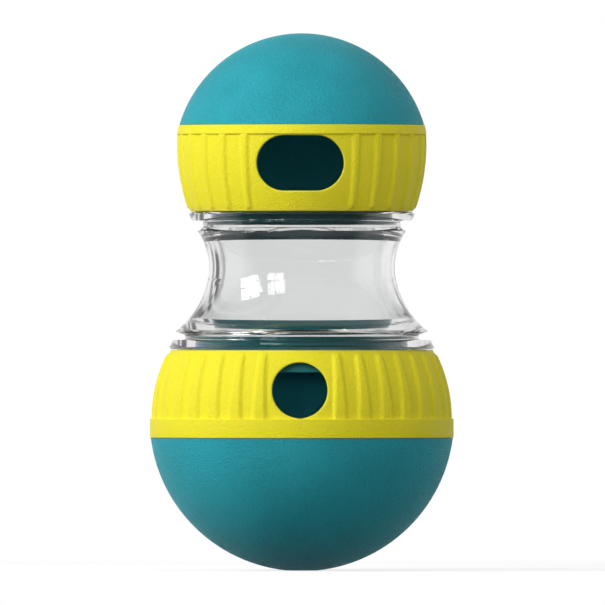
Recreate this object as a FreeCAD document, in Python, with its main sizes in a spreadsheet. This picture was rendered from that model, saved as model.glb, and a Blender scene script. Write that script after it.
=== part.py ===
import FreeCAD, Part
import math
import os
import re

import Sketcher

# Treat dispensing toy: two balls on a clear waist, 170 mm tall.
# Millimetres, +Z up, origin at the centre of the foot. Both outlets face -Y.

os.makedirs("parts", exist_ok=True)
doc = FreeCAD.newDocument("treat_dispensing_toy")

# Driving sizes. Each is written once, here.
SIZES = {
    # lower ball
    "foot_radius": 5.0,
    "base_radius": 48.2,
    "base_wall": 2.4,
    "base_seam_drop": 5.74,
    "lower_band_radius": 48.05,
    "lower_band_height": 6.2,
    "lower_crest_radius": 47.4,
    "lower_collar_height": 27.55,
    "lower_outlet_size": 17.5,
    "lower_outlet_rise": 14.9,
    "lower_window_width": 19.2,
    "lower_window_head": 3.0,
    "lower_skirt": 5.2,
    "lower_ridge_count": 34,
    "lower_ridge_first": 15.8,
    "lower_ridge_foot": 4.2,
    "lower_ridge_head": 1.8,
    "lower_ridge_gap": 1.6,
    # upper ball
    "cap_radius": 40.4,
    "cap_wall": 2.2,
    "cap_seam_rise": 11.2,
    "upper_band_radius": 39.5,
    "upper_band_top": 38.95,
    "upper_band_height": 2.8,
    "upper_girth": 39.45,
    "upper_side_radius": 62.5,
    "upper_girth_drop": 6.1,
    "upper_collar_height": 27.1,
    "upper_outlet_width": 27.5,
    "upper_outlet_height": 17.5,
    "upper_outlet_rise": 15.1,
    "upper_window_shift": 0.7,
    "upper_ridge_count": 26,
    "upper_ridge_first": 27.0,
    "upper_ridge_head": 2.6,
    "upper_ridge_foot": 1.7,
    "upper_ridge_gap": 0.6,
    # both collars
    "collar_wall": 2.8,
    "valley_depth": 0.6,
    "shutter_wall": 1.8,
    "shutter_gap": 0.35,
    "seam_gap": 0.25,
    "flange_gap": 0.25,
    "shutter_foot": 1.6,
    "shutter_sill": 0.4,
    "screw_flange": 2.0,
    "screw_flange_width": 6.8,
    "bead_height": 0.8,
    "bead_depth": 0.65,
    "bead_inset": 1.6,
    "travel": 60.0,
    "stop_width": 7.0,
    "stop_height": 1.1,
    "stop_depth": 0.7,
    "stop_gap": 1.0,
    "stop_inset": 0.2,
    # clear waist
    "waist_height": 43.45,
    "waist_fillet": 0.7,
    "throat_radius": 29.43,
    "throat_drop": 17.49,
    "upper_sweep": 20.07,
    "lower_sweep": 27.47,
    "sweep_join": 11.6,
    "waist_wall": 3.8,
    "upper_flange_radius": 35.8,
    "upper_flange_foot": 34.8,
    "upper_flange_height": 2.75,
    "upper_neck_radius": 31.3,
    "upper_neck_height": 2.3,
    "upper_bead_rise": 0.95,
    "upper_bore": 27.9,
    "lower_flange_radius": 42.0,
    "lower_flange_top": 40.7,
    "lower_flange_height": 3.0,
    "lower_neck_radius": 37.0,
    "lower_neck_height": 1.7,
    "lower_bead_rise": 0.9,
    "lower_bore": 33.2,
    "socket_depth": 4.1,
    # threaded adapters
    "upper_spigot": 30.0,
    "lower_spigot": 35.6,
    "spigot_gap": 0.4,
    "adapter_wall": 3.0,
    "divider_thickness": 1.6,
    "upper_passage": 17.0,
    "lower_passage": 20.0,
    "hub_height": 3.7,
    "upper_barrel": 4.4,
    "lower_barrel": 7.0,
    "thread_depth": 1.1,
    "thread_width": 1.5,
    "thread_lead": 9.0,
    "thread_starts": 3,
    "thread_rise": 1.6,
    "thread_gap": 0.3,
    "thread_inset": 1.05,
    "thread_root": 0.4,
    "thread_slope": 0.3,
    # silicone rings
    "seal_width": 1.6,
    "seal_height": 1.2,
    "seal_gap": 0.25,
    "seal_inset": 0.6,
    "seal_lip": 0.15,
    "ring_width": 1.4,
    "ring_height": 1.1,
    "ring_gap": 0.1,
    # screws and their posts
    "screw_radius": 1.2,
    "screw_length": 7.0,
    "head_radius": 2.3,
    "head_flat": 1.4,
    "head_height": 1.5,
    "post_radius": 2.7,
    "pilot_gap": 0.05,
    "hole_gap": 0.3,
    "screw_count": 4,
    # ballast
    "ballast_radius": 26.5,
    "ballast_gap": 0.2,
    "ballast_ease": 0.5,
    "shelf_rise": 19.0,
    "gasket_thickness": 1.0,
    "gasket_width": 6.0,
    "cover_thickness": 2.0,
    "cover_crown": 1.2,
    "cover_gap": 0.4,
}

# Heights and radii that follow from the driving sizes.
PLACES = {
    "base_centre": "sqrt(base_radius^2 - foot_radius^2)",
    "lower_seam": "base_centre - base_seam_drop",
    "lower_band_edge": "lower_seam + lower_band_height",
    "lower_rim": "lower_seam + lower_collar_height",
    "lower_outlet": "lower_seam + lower_outlet_rise",
    "lower_hub_face": "lower_rim - hub_height",
    "waist_foot": "lower_rim + flange_gap",
    "waist_head": "waist_foot + waist_height",
    "upper_rim": "waist_head + flange_gap",
    "upper_hub_face": "upper_rim + hub_height",
    "upper_outlet": "upper_rim + upper_outlet_rise",
    "upper_seam": "upper_rim + upper_collar_height",
    "upper_band_edge": "upper_seam - upper_band_height",
    "cap_centre": "upper_seam - cap_seam_rise",
    "girth": "upper_seam - upper_girth_drop",
    "side_centre": "upper_girth - upper_side_radius",
    "throat": "waist_head - throat_drop",
    "upper_sweep_centre": "throat_radius + upper_sweep",
    "lower_sweep_centre": "upper_sweep_centre + (lower_sweep - upper_sweep) * cos(sweep_join * 1 deg)",
    "lower_sweep_height": "throat + (lower_sweep - upper_sweep) * sin(sweep_join * 1 deg)",
    "upper_socket": "waist_head - socket_depth",
    "lower_socket": "waist_foot + socket_depth",
    "cover_foot": "shelf_rise + gasket_thickness",
    "cover_head": "cover_foot + cover_thickness",
}

size_sheet = doc.addObject("Spreadsheet::Sheet", "Size")
for row, (alias, amount) in enumerate(SIZES.items(), 1):
    size_sheet.set(f"A{row}", alias.replace("_", " "))
    size_sheet.set(f"B{row}", str(amount))
    size_sheet.setAlias(f"B{row}", alias)


def bound(text):
    """An expression in the sheets' words, each with its sheet's name in front."""

    def in_sheet(match):
        word = match.group()
        if word in SIZES:
            return "Size." + word
        return "Place." + word if word in PLACES else word

    return re.sub(r"[a-z][a-z_]*", in_sheet, text)


place_sheet = doc.addObject("Spreadsheet::Sheet", "Place")
for row, (alias, formula) in enumerate(PLACES.items(), 1):
    place_sheet.set(f"A{row}", alias.replace("_", " "))
    place_sheet.setAlias(f"B{row}", alias)
for row, formula in enumerate(PLACES.values(), 1):
    place_sheet.set(f"B{row}", "=" + bound(formula))
doc.recompute()

gauge = doc.addObject("App::FeaturePython", "gauge")
gauge.addProperty("App::PropertyFloat", "Amount")

# The screws stand on the diagonals, and a cutter reaches this far past the face that it opens.
SCREW_AZIMUTH = 45.0
PAST = "4"


def number(text):
    """What an expression comes to with the present sizes."""
    gauge.setExpression("Amount", bound(text))
    gauge.recompute()
    return gauge.Amount


def on_arc(radius, height, centre_height, centre="0"):
    """The distance from the Z axis of an arc's outer side, at a height."""
    return f"({centre} + sqrt(({radius})^2 - (({height}) - ({centre_height}))^2))"


def under_arc(radius, distance, centre_height):
    """The height of the lower side of an arc centred on the Z axis, at a distance from it."""
    return f"({centre_height} - sqrt(({radius})^2 - ({distance})^2))"


def new_body(label):
    body = doc.addObject("PartDesign::Body", label)
    body.Label = label
    return body


def origin(body, role):
    return next(part for part in body.Origin.OriginFeatures if part.Role == role)


def bind(sketch, constraint, text):
    """Adds a constraint whose value follows an expression."""
    index = sketch.addConstraint(Sketcher.Constraint(*constraint, number(text)))
    sketch.setExpression(f"Constraints[{index}]", bound(text))


def new_sketch(body, name, role, azimuth=0.0, lift=None):
    """A sketch on an origin plane of the body, turned about Z, or an XY one lifted along Z."""
    sketch = body.newObject("Sketcher::SketchObject", name)
    sketch.AttachmentSupport = [(origin(body, role), "")]
    sketch.MapMode = "FlatFace"
    axis = FreeCAD.Vector(0, 0, 1) if role == "XY_Plane" else FreeCAD.Vector(0, 1, 0)
    sketch.AttachmentOffset = FreeCAD.Placement(FreeCAD.Vector(), FreeCAD.Rotation(axis, azimuth))
    if lift:
        sketch.setExpression("AttachmentOffset.Base.z", bound(lift))
    return sketch


def arc_between(start, end, radius):
    """An arc from start to end, which bows to the right of the way when the radius is positive."""
    chord = end - start
    half = chord.Length / 2
    height = math.sqrt(max(radius * radius - half * half, 0.0))
    side = FreeCAD.Vector(-chord.y, chord.x, 0).normalize() * math.copysign(height, radius)
    centre = start + chord / 2 + side
    first, last = (start, end) if radius > 0 else (end, start)
    angles = [math.atan2(spot.y - centre.y, spot.x - centre.x) for spot in (first, last)]
    circle = Part.Circle(centre, FreeCAD.Vector(0, 0, 1), abs(radius))
    return Part.ArcOfCircle(circle, *angles)


def outline(sketch, corners):
    """A closed outline. A corner is (across, up), or (across, up, radius) where an arc leads to it."""
    first_edge = sketch.GeometryCount
    spots = [FreeCAD.Vector(number(corner[0]), number(corner[1]), 0) for corner in corners]
    ends = []
    for index, corner in enumerate(corners):
        if len(corner) == 3:
            radius = number(corner[2])
            sketch.addGeometry(arc_between(spots[index - 1], spots[index], radius))
            ends.append((1, 2) if radius > 0 else (2, 1))
        else:
            sketch.addGeometry(Part.LineSegment(spots[index - 1], spots[index]))
            ends.append((1, 2))
    for index, corner in enumerate(corners):
        edge = first_edge + index
        following = (index + 1) % len(corners)
        joined = (edge, ends[index][1], first_edge + following, ends[following][0])
        sketch.addConstraint(Sketcher.Constraint("Coincident", *joined))
        for direction, text, axis in (("DistanceX", corner[0], -2), ("DistanceY", corner[1], -1)):
            if text == "0":
                sketch.addConstraint(Sketcher.Constraint("PointOnObject", edge, ends[index][1], axis))
            else:
                bind(sketch, (direction, -1, 1, edge, ends[index][1]), text)
        if len(corner) == 3:
            bind(sketch, ("Radius", edge), corner[2].lstrip("-"))


def turned(body, name, corners, cut=False, angle=None, azimuth=0.0):
    """A ring about Z, or a part of one centred on an azimuth."""
    sketch = new_sketch(body, name + "_outline", "XZ_Plane", azimuth)
    outline(sketch, corners)
    feature = body.newObject("PartDesign::Groove" if cut else "PartDesign::Revolution", name)
    feature.Profile = (sketch, [""])
    feature.ReferenceAxis = (sketch, ["V_Axis"])
    feature.Angle = 360.0
    if angle:
        feature.Midplane = True
        feature.setExpression("Angle", bound(angle))
    return feature


def flat_ring(body, inner, width, low, high):
    outer = f"{inner} + {width}"
    return turned(body, "ring", [(inner, low), (outer, low), (outer, high), (inner, high)])


def around(body, name, feature, count, angle="360"):
    """Copies of a feature about Z."""
    pattern = body.newObject("PartDesign::PolarPattern", name)
    pattern.Originals = [feature]
    pattern.Axis = (origin(body, "Z_Axis"), [""])
    pattern.setExpression("Angle", bound(angle))
    pattern.setExpression("Occurrences", bound(count))
    body.Tip = pattern
    return pattern


def oval_pocket(body, name, across, up, width, height):
    """An oval hole with half-round ends through the front wall."""
    sketch = new_sketch(body, name + "_outline", "XZ_Plane")
    end = f"({height}) / 2"
    left = f"{across} - (({width}) - ({height})) / 2"
    right = f"{across} + (({width}) - ({height})) / 2"
    outline(
        sketch,
        [
            (right, f"{up} - {end}"),
            (f"{across} + ({width}) / 2", up, end),
            (right, f"{up} + {end}", end),
            (left, f"{up} + {end}"),
            (f"{across} - ({width}) / 2", up, end),
            (left, f"{up} - {end}", end),
        ],
    )
    pocket = body.newObject("PartDesign::Pocket", name)
    pocket.Profile = (sketch, [""])
    pocket.Reversed = True
    pocket.setExpression("Length", bound("base_radius"))


def round_posts(body, name, distance, radius, low, high, cut=False, upward=False):
    """Upright round posts in a circle of screws, or holes cut down, or upward, between two heights."""
    start = high if cut and not upward else low
    sketch = new_sketch(body, name + "_outline", "XY_Plane", SCREW_AZIMUTH, start)
    centre = FreeCAD.Vector(number(distance), 0, 0)
    sketch.addGeometry(Part.Circle(centre, FreeCAD.Vector(0, 0, 1), number(radius)))
    bind(sketch, ("DistanceX", -1, 1, 0, 3), distance)
    bind(sketch, ("Radius", 0), radius)
    sketch.addConstraint(Sketcher.Constraint("PointOnObject", 0, 3, -1))
    feature = body.newObject("PartDesign::Pocket" if cut else "PartDesign::Pad", name)
    feature.Profile = (sketch, [""])
    feature.setExpression("Length", bound(f"({high}) - ({low})"))
    if cut and upward:
        feature.Reversed = True
    return around(body, name + "_circle", feature, "screw_count")


def screw_circle(label, distance, seat, down):
    """Pan-head screws. Their heads bear on the seat, and their shanks point down or up from it."""
    body = new_body(label)
    way = "-" if down else "+"
    back = "+" if down else "-"
    sketch = new_sketch(body, label + "_outline", "XZ_Plane", SCREW_AZIMUTH)
    head = f"{distance} + head_radius"
    shank = f"{distance} + screw_radius"
    head_face = f"{seat} {back} head_height"
    outline(
        sketch,
        [
            (distance, f"{seat} {way} screw_length"),
            (shank, f"{seat} {way} (screw_length - screw_radius)"),
            (shank, seat),
            (head, seat),
            (head, f"{seat} {back} head_height / 2"),
            (f"{distance} + head_flat", head_face),
            (distance, head_face),
        ],
    )
    feature = body.newObject("PartDesign::Revolution", label + "_turned")
    axis_ends = [FreeCAD.Vector(number(distance), number(up), 0) for up in (seat, head_face)]
    line = sketch.addGeometry(Part.LineSegment(*axis_ends), True)
    sketch.addConstraint(Sketcher.Constraint("Vertical", line))
    bind(sketch, ("DistanceX", -1, 1, line, 1), distance)
    for end, up in ((1, seat), (2, head_face)):
        bind(sketch, ("DistanceY", -1, 1, line, end), up)
    feature.Profile = (sketch, [""])
    feature.ReferenceAxis = (sketch, ["Axis0"])
    feature.Angle = 360.0
    around(body, label + "_circle", feature, "screw_count")
    return body


def thread(body, name, root, depth, width, low, rise):
    """Helical ridges, one for each start, that begin at a height and climb by a rise."""
    inner = f"({root}) - thread_root"
    crest = f"({root}) + ({depth})"
    flank = f"({width}) / 2"
    tip = f"({width}) / 2 - ({depth}) * thread_slope"
    section = [
        (inner, f"({low}) - ({flank})"),
        (crest, f"({low}) - ({tip})"),
        (crest, f"({low}) + ({tip})"),
        (inner, f"({low}) + ({flank})"),
    ]
    starts = round(number("thread_starts"))
    for start in range(starts):
        sketch = new_sketch(body, f"{name}_{start}_outline", "XZ_Plane", 360 / starts * start)
        outline(sketch, section)
        feature = body.newObject("PartDesign::AdditiveHelix", f"{name}_{start}")
        feature.Profile = (sketch, [""])
        feature.ReferenceAxis = (sketch, ["V_Axis"])
        feature.Mode = "pitch-height-angle"
        feature.setExpression("Pitch", bound("thread_lead"))
        feature.setExpression("Height", bound(rise))


def ridge_ring(label, ring, wedge, inside, count, first):
    """Ridges that stand on a collar: a ring of crest height, kept only inside upright wedges."""
    crest = new_body(label + "_crest")
    turned(crest, label + "_crest_turned", ring)
    wedges = new_body(label + "_wedges")
    sketch = new_sketch(wedges, label + "_wedge_outline", "YZ_Plane", number(f"{first} - 90"))
    sketch.setExpression("AttachmentOffset.Base.x", bound(f"-({inside}) * cos({first} * 1 deg)"))
    sketch.setExpression("AttachmentOffset.Base.z", bound(f"({inside}) * sin({first} * 1 deg)"))
    outline(sketch, wedge)
    pad = wedges.newObject("PartDesign::Pad", label + "_wedge")
    pad.Profile = (sketch, [""])
    pad.setExpression("Length", bound(f"base_radius - ({inside}) + {PAST}"))
    around(wedges, label + "_wedge_circle", pad, count, f"360 - 2 * {first}")
    ridges = doc.addObject("Part::Common", label)
    ridges.Base = crest
    ridges.Tool = wedges
    return ridges


# A shutter turns inside its collar on its own clearance.
LOWER_INSIDE = "lower_crest_radius - collar_wall"
LOWER_SHUTTER = "lower_crest_radius - collar_wall - shutter_gap"
UPPER_INSIDE = "upper_side_radius - collar_wall"
UPPER_SHUTTER = "upper_side_radius - collar_wall - shutter_gap"


def upper_inside(height):
    return on_arc(UPPER_INSIDE, height, "girth", "side_centre")


def upper_shutter_side(height):
    return on_arc(UPPER_SHUTTER, height, "girth", "side_centre")


def lower_inside(height):
    return on_arc(LOWER_INSIDE, height, "base_centre")


# Circles of screws, and the holes that they go through and bite in.
LOWER_SCREWS = f"({LOWER_SHUTTER} - screw_flange_width / 2 - shutter_wall / 2)"
UPPER_FLANGE = upper_shutter_side("upper_seam + shutter_gap")
UPPER_SCREWS = f"({UPPER_FLANGE} - screw_flange_width / 2 - shutter_wall / 2)"
COVER_SCREWS = "(ballast_radius + ballast_ease + gasket_width / 2 + hole_gap)"
SCREW_HOLE = "screw_radius + hole_gap"
PILOT = "screw_radius + pilot_gap"

# A dome's stop stands behind the outlet, on the dome's rim, and runs in a track in the collar.
STOP_AZIMUTH = 90.0
LOWER_STOP = on_arc("base_radius - base_wall", "lower_seam - seam_gap", "base_centre") + " + stop_inset"
UPPER_STOP = on_arc("cap_radius - cap_wall", "upper_seam + seam_gap", "cap_centre") + " + stop_inset"
TRACK_ANGLE = "travel + stop_width + 2 * stop_gap"


def finished_collar(label, core, ridges, spigot, hub_foot):
    """A collar's ring with its ridges on, and in its hub a groove for each start of the thread."""
    ribbed = doc.addObject("Part::Fuse", label + "_ribbed")
    ribbed.Base = core
    ribbed.Tool = ridges
    entry = "thread_lead / thread_starts"
    low = f"{hub_foot} + thread_inset - {entry}"
    rise = f"hub_height + thread_inset + {entry}"
    grooves = new_body(label + "_grooves")
    depth = "thread_depth + thread_gap"
    thread(grooves, label + "_groove", spigot, depth, "thread_width + 2 * thread_gap", low, rise)
    collar = doc.addObject("Part::Cut", label)
    collar.Base = ribbed
    collar.Tool = grooves
    collar.Label = label
    return collar


def seal_groove(spigot, face, inward):
    """The corners of a seal's groove in a collar's end face, from the bore outwards."""
    inner = f"{spigot} + thread_depth + thread_gap + seal_inset"
    outer = f"{inner} + seal_width + 2 * seal_gap"
    floor = f"{face} {inward} (seal_height - seal_lip + seal_gap)"
    return [(inner, face), (inner, floor), (outer, floor), (outer, face)]


def make_lower_dome():
    """Bowl with a flat foot, four posts for the shutter's screws and a shelf for the ballast's cover."""
    body = new_body("lower_dome")
    middle = "base_radius - base_wall / 2"
    inside = "base_radius - base_wall"
    rim = "lower_seam - seam_gap"
    post_head = "lower_seam - lower_skirt"
    round_posts(body, "posts", LOWER_SCREWS, "post_radius", "shelf_rise", post_head)
    turned(
        body,
        "post_trim",
        [
            ("0", f"base_centre - ({middle})"),
            (middle, "base_centre", middle),
            (f"{middle} + {PAST}", "base_centre"),
            (f"{middle} + {PAST}", f"-{PAST}"),
            ("0", f"-{PAST}"),
        ],
        cut=True,
    )
    turned(
        body,
        "bowl",
        [
            ("0", "0"),
            ("foot_radius", "0"),
            (on_arc("base_radius", rim, "base_centre"), rim, "base_radius"),
            (on_arc(inside, rim, "base_centre"), rim),
            ("0", f"base_centre - ({inside})", f"-({inside})"),
        ],
    )
    shelf_edge = "ballast_radius + ballast_ease"
    turned(
        body,
        "shelf",
        [
            (shelf_edge, "shelf_rise"),
            (shelf_edge, under_arc(middle, shelf_edge, "base_centre")),
            (on_arc(middle, "shelf_rise", "base_centre"), "shelf_rise", middle),
        ],
    )
    turned(
        body,
        "stop",
        [
            (LOWER_STOP, f"{rim} - seam_gap"),
            (f"{LOWER_STOP} + stop_depth", f"{rim} - seam_gap"),
            (f"{LOWER_STOP} + stop_depth", f"{rim} + stop_height"),
            (LOWER_STOP, f"{rim} + stop_height"),
        ],
        angle="stop_width",
        azimuth=STOP_AZIMUTH,
    )
    post_pilot_foot = f"{post_head} + screw_flange - screw_length - hole_gap"
    round_posts(body, "post_pilots", LOWER_SCREWS, PILOT, post_pilot_foot, post_head, cut=True)
    shelf_pilot_foot = "cover_head - screw_length - hole_gap"
    round_posts(body, "shelf_pilots", COVER_SCREWS, PILOT, shelf_pilot_foot, "shelf_rise", cut=True)
    return body


def make_lower_shutter():
    """Sleeve inside the lower collar. Its window opens the outlet, and its flange is screwed to the bowl."""
    body = new_body("lower_shutter")
    outer = LOWER_SHUTTER
    inner = f"{LOWER_SHUTTER} - shutter_wall"
    head = "lower_hub_face - shutter_gap"
    foot = "lower_seam - lower_skirt"
    ring_in = "lower_spigot + thread_depth + thread_gap + shutter_wall"
    ring_out = f"{ring_in} + ring_width + 2 * ring_gap"
    bead_low = "lower_seam + bead_inset + bead_height / 2"
    bead_floor = f"{LOWER_INSIDE} - bead_depth - shutter_gap"
    turned(
        body,
        "sleeve",
        [
            (outer, foot),
            (outer, f"{bead_low} - shutter_gap"),
            (bead_floor, f"{bead_low} - shutter_gap"),
            (bead_floor, f"{bead_low} + bead_height + shutter_gap"),
            (outer, f"{bead_low} + bead_height + shutter_gap"),
            (outer, "base_centre"),
            (on_arc(outer, head, "base_centre"), head, outer),
            (ring_out, head),
            (ring_out, f"{head} - ring_height + seal_lip"),
            (ring_in, f"{head} - ring_height + seal_lip"),
            (ring_in, head),
            ("lower_spigot + thread_depth + thread_gap", head),
            ("lower_spigot + thread_depth + thread_gap", f"{head} - shutter_foot"),
            (on_arc(inner, f"{head} - shutter_foot", "base_centre"), f"{head} - shutter_foot"),
            (inner, "base_centre", f"-({inner})"),
            (inner, f"{foot} + screw_flange"),
            (f"{inner} - screw_flange_width", f"{foot} + screw_flange"),
            (f"{inner} - screw_flange_width", foot),
        ],
    )
    sketch = new_sketch(body, "window_outline", "XZ_Plane")
    half = "lower_window_width / 2"
    low = "lower_outlet - lower_outlet_size / 2 - shutter_sill"
    high = "lower_outlet + lower_outlet_size / 2 - lower_window_head"
    outline(sketch, [(f"-({half})", low), (half, low), (half, high), (f"-({half})", high)])
    window = body.newObject("PartDesign::Pocket", "window")
    window.Profile = (sketch, [""])
    window.Reversed = True
    window.setExpression("Length", bound("base_radius"))
    flange_head = f"{foot} + screw_flange"
    round_posts(body, "screw_holes", LOWER_SCREWS, SCREW_HOLE, f"{foot} - {PAST}", flange_head, cut=True)
    return body


def make_lower_collar():
    """Ribbed ring with the round outlet, a plain band, and a threaded hub for the waist's adapter."""
    core = new_body("lower_collar_core")
    valley = "lower_crest_radius - valley_depth"
    bore = "lower_spigot + thread_gap"
    bead_low = "lower_seam + bead_inset + bead_height / 2"
    turned(
        core,
        "ring",
        [
            ("lower_band_radius", "lower_seam"),
            ("lower_band_radius", "lower_band_edge"),
            (on_arc(valley, "lower_band_edge", "base_centre"), "lower_band_edge"),
            (on_arc(valley, "lower_rim", "base_centre"), "lower_rim", valley),
            *reversed(seal_groove("lower_spigot", "lower_rim", "-")),
            (bore, "lower_rim"),
            (bore, "lower_hub_face"),
            (lower_inside("lower_hub_face"), "lower_hub_face"),
            (LOWER_INSIDE, "base_centre", f"-({LOWER_INSIDE})"),
            (LOWER_INSIDE, f"{bead_low} + bead_height"),
            (f"{LOWER_INSIDE} - bead_depth", f"{bead_low} + bead_height"),
            (f"{LOWER_INSIDE} - bead_depth", bead_low),
            (LOWER_INSIDE, bead_low),
            (LOWER_INSIDE, "lower_seam"),
        ],
    )
    track_in = f"{LOWER_INSIDE} - {PAST}"
    track_out = f"{LOWER_STOP} + stop_depth + shutter_gap"
    track_foot = f"lower_seam - {PAST}"
    track_head = "lower_seam - seam_gap + stop_height + shutter_gap"
    turned(
        core,
        "stop_track",
        [(track_in, track_foot), (track_out, track_foot), (track_out, track_head), (track_in, track_head)],
        cut=True,
        angle=TRACK_ANGLE,
        azimuth=number(f"{STOP_AZIMUTH} - travel / 2"),
    )
    sketch = new_sketch(core, "outlet_outline", "XZ_Plane")
    radius = number("lower_outlet_size / 2")
    centre = FreeCAD.Vector(0, number("lower_outlet"), 0)
    sketch.addGeometry(Part.Circle(centre, FreeCAD.Vector(0, 0, 1), radius))
    sketch.addConstraint(Sketcher.Constraint("PointOnObject", 0, 3, -2))
    bind(sketch, ("DistanceY", -1, 1, 0, 3), "lower_outlet")
    bind(sketch, ("Radius", 0), "lower_outlet_size / 2")
    outlet = core.newObject("PartDesign::Pocket", "outlet")
    outlet.Profile = (sketch, [""])
    outlet.Reversed = True
    outlet.setExpression("Length", bound("base_radius"))
    foot = "lower_band_edge - valley_depth"
    head = "lower_rim - lower_ridge_gap"
    ridges = ridge_ring(
        "lower_ridges",
        [
            (on_arc(f"{valley} - valley_depth", foot, "base_centre"), foot),
            (on_arc("lower_crest_radius", foot, "base_centre"), foot),
            (on_arc("lower_crest_radius", head, "base_centre"), head, "lower_crest_radius"),
            (on_arc(f"{valley} - valley_depth", head, "base_centre"), head),
        ],
        [
            ("-lower_ridge_foot / 2", foot),
            ("lower_ridge_foot / 2", foot),
            ("lower_ridge_head / 2", f"{head} - lower_ridge_head / 2"),
            ("0", head),
            ("-lower_ridge_head / 2", f"{head} - lower_ridge_head / 2"),
        ],
        "lower_spigot",
        "lower_ridge_count",
        "lower_ridge_first",
    )
    return finished_collar("lower_collar", core, ridges, "lower_spigot", "lower_hub_face")


def make_lower_friction_ring():
    body = new_body("lower_friction_ring")
    inner = "lower_spigot + thread_depth + thread_gap + shutter_wall + ring_gap"
    head = "lower_hub_face - shutter_gap + seal_lip"
    flat_ring(body, inner, "ring_width", f"{head} - ring_height + ring_gap / 2", head)
    return body


def make_seal(label, spigot, face, outward):
    """Flat ring in a collar's groove, a lip's height proud of the face."""
    body = new_body(label)
    inner = f"{spigot} + thread_depth + thread_gap + seal_inset + seal_gap"
    sunk = f"{face} {outward} (seal_lip - seal_height)"
    flat_ring(body, inner, "seal_width", sunk, f"{face} {outward} seal_lip")
    return body


def make_lower_adapter():
    """Threaded tube bonded into the waist's lower socket, with a divider round the kibble's passage."""
    body = new_body("lower_adapter")
    head = "lower_socket - pilot_gap"
    foot = "lower_rim - lower_barrel"
    turned(
        body,
        "tube",
        [
            ("lower_spigot", foot),
            ("lower_spigot", head),
            ("lower_passage", head),
            ("lower_passage", f"{head} - divider_thickness"),
            ("lower_spigot - adapter_wall", f"{head} - divider_thickness"),
            ("lower_spigot - adapter_wall", foot),
        ],
    )
    low = "lower_hub_face + thread_inset"
    thread(body, "ridges", "lower_spigot", "thread_depth", "thread_width", low, "thread_rise")
    return body


def make_waist():
    """Clear hourglass with a flange, a socket and a short straight bore at each end."""
    body = new_body("waist")
    fillet = "waist_fillet"
    flange_top = "waist_foot + lower_flange_height"
    lower_neck_head = f"{flange_top} + lower_neck_height"
    lower_edge = f"{lower_neck_head} + lower_bead_rise"
    flange_foot = "waist_head - upper_flange_height"
    upper_neck_foot = f"{flange_foot} - upper_neck_height"
    upper_edge = f"{upper_neck_foot} - upper_bead_rise"
    join_across = "cos(sweep_join * 1 deg)"
    join_up = "sin(sweep_join * 1 deg)"
    upper_inner = "upper_sweep_centre - waist_wall"
    lower_inner = "lower_sweep_centre - waist_wall"
    lower_bore_head = f"lower_sweep_height - sqrt(lower_sweep^2 - ({lower_inner} - lower_bore)^2)"
    upper_bore_foot = f"throat + sqrt(upper_sweep^2 - ({upper_inner} - upper_bore)^2)"
    edge_across = f"upper_sweep_centre - sqrt(upper_sweep^2 - ({upper_edge} - throat)^2)"
    lower_edge_across = f"lower_sweep_centre - sqrt(lower_sweep^2 - ({lower_edge} - lower_sweep_height)^2)"
    turned(
        body,
        "hourglass",
        [
            ("lower_spigot + spigot_gap", "waist_foot"),
            ("lower_spigot + spigot_gap", "lower_socket"),
            ("lower_bore", "lower_socket"),
            ("lower_bore", lower_bore_head),
            (
                f"{upper_inner} - upper_sweep * {join_across}",
                f"throat - upper_sweep * {join_up}",
                "-(lower_sweep)",
            ),
            ("upper_bore", upper_bore_foot, "-(upper_sweep)"),
            ("upper_bore", "upper_socket"),
            ("upper_spigot + spigot_gap", "upper_socket"),
            ("upper_spigot + spigot_gap", "waist_head"),
            (f"upper_flange_radius - {fillet}", "waist_head"),
            ("upper_flange_radius", f"waist_head - {fillet}"),
            ("upper_flange_foot", flange_foot),
            (f"upper_neck_radius + {fillet}", flange_foot),
            ("upper_neck_radius", f"{flange_foot} - {fillet}", fillet),
            ("upper_neck_radius", f"{upper_neck_foot} + {fillet}"),
            (f"upper_neck_radius + {fillet}", upper_neck_foot, fillet),
            (edge_across, upper_edge),
            (
                f"upper_sweep_centre - upper_sweep * {join_across}",
                f"throat - upper_sweep * {join_up}",
                "upper_sweep",
            ),
            (lower_edge_across, lower_edge, "lower_sweep"),
            (f"lower_neck_radius + {fillet}", lower_neck_head),
            ("lower_neck_radius", f"{lower_neck_head} - {fillet}", fillet),
            ("lower_neck_radius", f"{flange_top} + {fillet}"),
            (f"lower_neck_radius + {fillet}", flange_top, fillet),
            ("lower_flange_top", flange_top),
            ("lower_flange_radius", f"waist_foot + {fillet}"),
            (f"lower_flange_radius - {fillet} / 2", "waist_foot"),
        ],
    )
    return body


def make_upper_adapter():
    """Threaded tube bonded into the waist's upper socket, with a divider round the kibble's passage."""
    body = new_body("upper_adapter")
    foot = "upper_socket + pilot_gap"
    head = "upper_rim + upper_barrel"
    turned(
        body,
        "tube",
        [
            ("upper_passage", foot),
            ("upper_spigot", foot),
            ("upper_spigot", head),
            ("upper_spigot - adapter_wall", head),
            ("upper_spigot - adapter_wall", f"{foot} + divider_thickness"),
            ("upper_passage", f"{foot} + divider_thickness"),
        ],
    )
    low = "upper_rim + thread_inset"
    thread(body, "ridges", "upper_spigot", "thread_depth", "thread_width", low, "thread_rise")
    return body


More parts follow.
